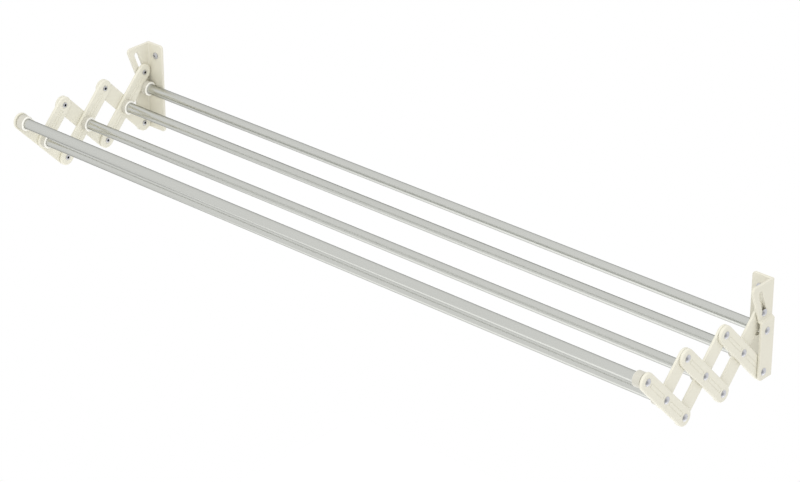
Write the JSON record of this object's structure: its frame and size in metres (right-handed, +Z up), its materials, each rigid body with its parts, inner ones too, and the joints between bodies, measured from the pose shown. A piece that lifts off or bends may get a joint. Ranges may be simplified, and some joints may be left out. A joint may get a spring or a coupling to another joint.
{
  "type": "wall mounted drying rack",
  "caption": "Wall mounted extending laundry rack: aluminium rails carried by scissor arms that pull out from two wall brackets and push back against the wall.",
  "frame": {"origin": "centre of the four wall screws, on the wall plane", "axes": "+X along the rails, +Y into the wall, +Z up; the rack extends towards -Y"},
  "size_m": [1.0042, 0.2452, 0.1215],
  "materials": {
    "bracket_plastic": "satin moulded cream",
    "arm_plastic": "satin moulded cream",
    "cap_plastic": "satin moulded cream",
    "rail_aluminium": "satin anodised",
    "rivet_steel": "bright zinc plated",
    "screw_steel": "bright zinc plated"
  },
  "bodies": {
    "root": {"bracket_left": "bracket_plastic", "bracket_right": "bracket_plastic", "wall_screws": "screw_steel", "bracket_pivot_rivets": "rivet_steel", "rail_1": "rail_aluminium", "rail_1_cap_left": "cap_plastic", "rail_1_cap_right": "cap_plastic", "rail_1_rivets": "rivet_steel"},
    "outer_arms_1": {"outer_arm_1_left": "arm_plastic", "outer_arm_1_right": "arm_plastic", "upper_pivot_rivets_1": "rivet_steel"},
    "inner_arms_1": {"inner_arm_1_left": "arm_plastic", "inner_arm_1_right": "arm_plastic", "slot_pins": "rivet_steel", "lower_pivot_rivets_1": "rivet_steel", "rail_2": "rail_aluminium", "rail_2_cap_left": "cap_plastic", "rail_2_cap_right": "cap_plastic", "rail_2_rivets": "rivet_steel"},
    "inner_arms_2": {"inner_arm_2_left": "arm_plastic", "inner_arm_2_right": "arm_plastic", "lower_pivot_rivets_2": "rivet_steel", "rail_3": "rail_aluminium", "rail_3_cap_left": "cap_plastic", "rail_3_cap_right": "cap_plastic", "rail_3_rivets": "rivet_steel"},
    "outer_arms_2": {"outer_arm_2_left": "arm_plastic", "outer_arm_2_right": "arm_plastic", "upper_pivot_rivets_2": "rivet_steel"},
    "outer_arms_3": {"outer_arm_3_left": "arm_plastic", "outer_arm_3_right": "arm_plastic", "rail_5": "rail_aluminium", "rail_5_cap_left": "cap_plastic", "rail_5_cap_right": "cap_plastic", "rail_5_rivets": "rivet_steel"},
    "inner_arms_3": {"inner_arm_3_left": "arm_plastic", "inner_arm_3_right": "arm_plastic", "rail_4": "rail_aluminium", "rail_4_cap_left": "cap_plastic", "rail_4_cap_right": "cap_plastic", "rail_4_rivets": "rivet_steel"}
  },
  "joints": [
    {"name": "fold", "type": "hinge", "parent": "root", "child": "outer_arms_1", "pos_m": [0, -0.0153, -0.05], "axis": [-1, 0, 0], "range_deg": [0, 23.3]},
    {"name": "inner_arms_1_pivot", "type": "hinge", "parent": "outer_arms_1", "child": "inner_arms_1", "pos_m": [0, -0.05013, -0.01343], "axis": [-1, 0, 0], "range_deg": [-57.5, 0]},
    {"name": "inner_arms_2_pivot", "type": "hinge", "parent": "outer_arms_1", "child": "inner_arms_2", "pos_m": [0, -0.08495, 0.02314], "axis": [-1, 0, 0], "range_deg": [-57.5, 0]},
    {"name": "outer_arms_2_pivot", "type": "hinge", "parent": "inner_arms_1", "child": "outer_arms_2", "pos_m": [0, -0.08495, -0.05], "axis": [-1, 0, 0], "range_deg": [0, 57.5]},
    {"name": "outer_arms_3_pivot", "type": "hinge", "parent": "inner_arms_2", "child": "outer_arms_3", "pos_m": [0, -0.1546, -0.05], "axis": [-1, 0, 0], "range_deg": [0, 57.5]},
    {"name": "inner_arms_3_pivot", "type": "hinge", "parent": "outer_arms_2", "child": "inner_arms_3", "pos_m": [0, -0.1546, 0.02314], "axis": [-1, 0, 0], "range_deg": [-57.5, 0]}
  ],
  "couplings": [
    {"joint": "inner_arms_1_pivot", "follows": "fold", "ratio": -2.466},
    {"joint": "inner_arms_2_pivot", "follows": "fold", "ratio": -2.466},
    {"joint": "outer_arms_2_pivot", "follows": "fold", "ratio": 2.466},
    {"joint": "outer_arms_3_pivot", "follows": "fold", "ratio": 2.466},
    {"joint": "inner_arms_3_pivot", "follows": "fold", "ratio": -2.466}
  ]
}
